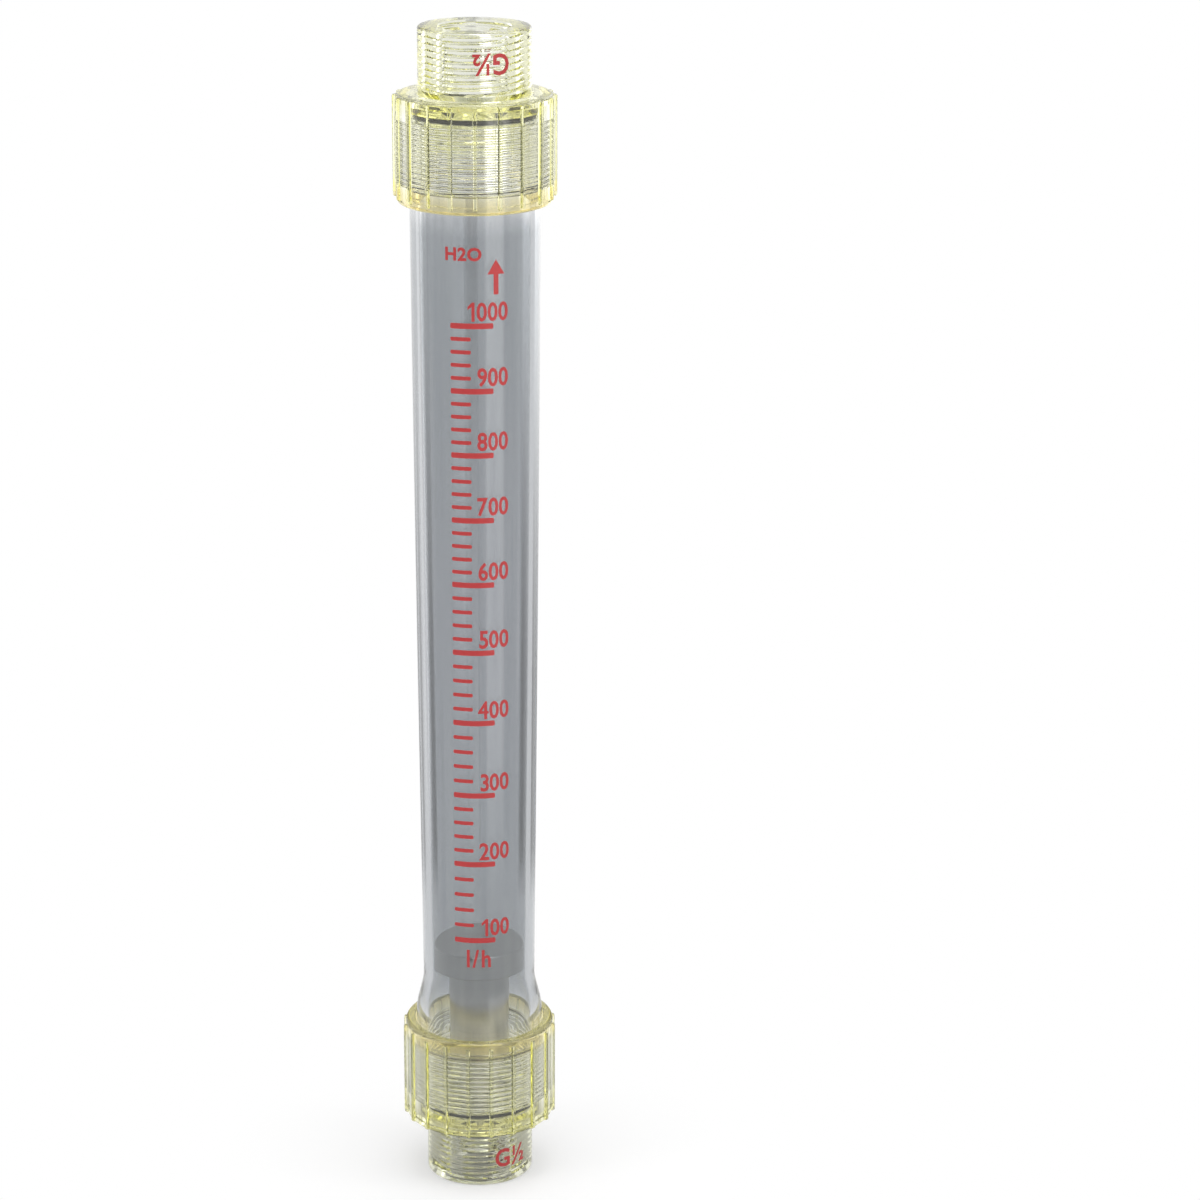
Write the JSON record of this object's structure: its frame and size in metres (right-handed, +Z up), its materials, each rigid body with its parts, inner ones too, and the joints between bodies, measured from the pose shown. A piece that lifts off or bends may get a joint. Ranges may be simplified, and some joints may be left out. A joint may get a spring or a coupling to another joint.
{
  "type": "water flow meter",
  "caption": "Clear tapered tube with a printed flow scale, a steel float inside, and a ribbed union nut with a threaded insert at each end.",
  "frame": {"origin": "centre of the lower insert's end face, which is the foot that the meter stands on", "axes": "+Z up along the tube, the way the water flows; the printed scale faces -Y"},
  "size_m": [0.0464, 0.0464, 0.35],
  "materials": {
    "tube_plastic": "moulded, clear with a grey-blue tint",
    "fitting_plastic": "moulded, clear with a pale yellow tint",
    "scale_print": "screen-printed ink",
    "seal_rubber": "smooth moulded",
    "float_steel": "turned, satin"
  },
  "bodies": {
    "tube": {"measuring_tube": "tube_plastic", "scale_marks": "scale_print"},
    "upper_fitting": {"upper_insert": "fitting_plastic", "upper_o_ring": "seal_rubber"},
    "lower_fitting": {"lower_insert": "fitting_plastic", "lower_o_ring": "seal_rubber"},
    "upper_nut": {"upper_union_nut": "fitting_plastic"},
    "lower_nut": {"lower_union_nut": "fitting_plastic"},
    "float": {"float": "float_steel"}
  },
  "joints": [
    {"name": "float_lift", "type": "slide", "parent": "tube", "child": "float", "axis": [0, 0, 1], "range_m": [0, 0.2402]},
    {"name": "upper_fitting_slide", "type": "slide", "parent": "tube", "child": "upper_fitting", "axis": [0, 0, 1], "range_m": [0, 0.0195]},
    {"name": "upper_nut_turn", "type": "hinge", "parent": "upper_fitting", "child": "upper_nut", "pos_m": [0, 0, 0.3158], "axis": [0, 0, 1], "range_deg": [0, 4680]},
    {"name": "lower_fitting_slide", "type": "slide", "parent": "tube", "child": "lower_fitting", "axis": [0, 0, -1], "range_m": [0, 0.0195]},
    {"name": "lower_nut_turn", "type": "hinge", "parent": "lower_fitting", "child": "lower_nut", "pos_m": [0, 0, 0.0342], "axis": [0, 0, -1], "range_deg": [0, 4680]}
  ],
  "couplings": [
    {"joint": "upper_fitting_slide", "follows": "upper_nut_turn", "m_per_rad": 0.00023873},
    {"joint": "lower_fitting_slide", "follows": "lower_nut_turn", "m_per_rad": 0.00023873}
  ]
}
